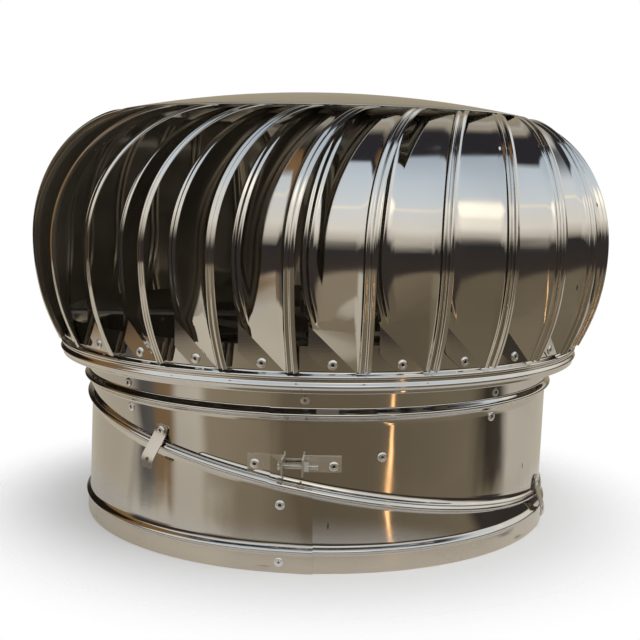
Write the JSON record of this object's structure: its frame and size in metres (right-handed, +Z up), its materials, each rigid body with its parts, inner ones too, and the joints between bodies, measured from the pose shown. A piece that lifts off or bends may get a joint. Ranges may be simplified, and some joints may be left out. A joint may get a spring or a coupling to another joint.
{
  "type": "roof exhaust fan",
  "caption": "Wind-driven roof exhaust fan: a polished rotor of curved ribbed vanes under a domed cap, spinning on a two-part base whose slanting seam swivels to suit the roof's pitch.",
  "frame": {"origin": "on the rotor's axis, at the lower rim of the base", "axes": "+Z up along the rotor's axis, -Y towards the clamp, +X towards the low side of the seam"},
  "size_m": [0.6186, 0.6186, 0.4512],
  "materials": {
    "polished_steel": "mirror-polished stainless sheet",
    "satin_steel": "stainless strip, slightly satin",
    "zinc_steel": "zinc-plated fastener",
    "bar_steel": "galvanised flat bar and pressings",
    "ground_steel": "ground bright steel",
    "rivet_aluminium": "aluminium blind rivet"
  },
  "bodies": {
    "lower_base": {"lower_collar": "polished_steel", "skirt_rivets": "rivet_aluminium"},
    "upper_base": {"upper_collar": "polished_steel", "strap_1": "satin_steel", "strap_2": "satin_steel", "strap_3": "satin_steel", "clamp_bracket_left": "satin_steel", "clamp_bracket_right": "satin_steel", "clamp_bolt": "zinc_steel", "clamp_nut": "zinc_steel", "cross_bar_1": "bar_steel", "cross_bar_2": "bar_steel", "shaft": "ground_steel", "shaft_nuts": "zinc_steel", "shaft_washer": "zinc_steel", "thrust_collar": "ground_steel", "strap_rivets": "rivet_aluminium", "bracket_rivets": "rivet_aluminium", "collar_rivets": "rivet_aluminium", "cross_rivets": "rivet_aluminium"},
    "rotor": {"rotor_ring": "polished_steel", "vane_01": "polished_steel", "vane_02": "polished_steel", "vane_03": "polished_steel", "vane_04": "polished_steel", "vane_05": "polished_steel", "vane_06": "polished_steel", "vane_07": "polished_steel", "vane_08": "polished_steel", "vane_09": "polished_steel", "vane_10": "polished_steel", "vane_11": "polished_steel", "vane_12": "polished_steel", "vane_13": "polished_steel", "vane_14": "polished_steel", "vane_15": "polished_steel", "vane_16": "polished_steel", "vane_17": "polished_steel", "vane_18": "polished_steel", "vane_19": "polished_steel", "vane_20": "polished_steel", "vane_21": "polished_steel", "vane_22": "polished_steel", "vane_23": "polished_steel", "vane_24": "polished_steel", "vane_25": "polished_steel", "vane_26": "polished_steel", "vane_27": "polished_steel", "vane_28": "polished_steel", "top_cap": "polished_steel", "cap_plug": "rivet_aluminium", "upper_housing": "bar_steel", "lower_housing": "bar_steel", "upper_bearing": "ground_steel", "lower_bearing": "ground_steel", "rotor_bar_1": "bar_steel", "rotor_bar_2": "bar_steel", "vane_rivets": "rivet_aluminium"}
  },
  "joints": [
    {"name": "collar_swivel", "type": "hinge", "parent": "lower_base", "child": "upper_base", "pos_m": [0, 0, 0.08299], "axis": [0.1895, -0.0226, 0.9816], "continuous": true},
    {"name": "rotor_spin", "type": "hinge", "parent": "upper_base", "child": "rotor", "pos_m": [0, 0, 0.3], "axis": [0, 0, 1], "continuous": true}
  ]
}
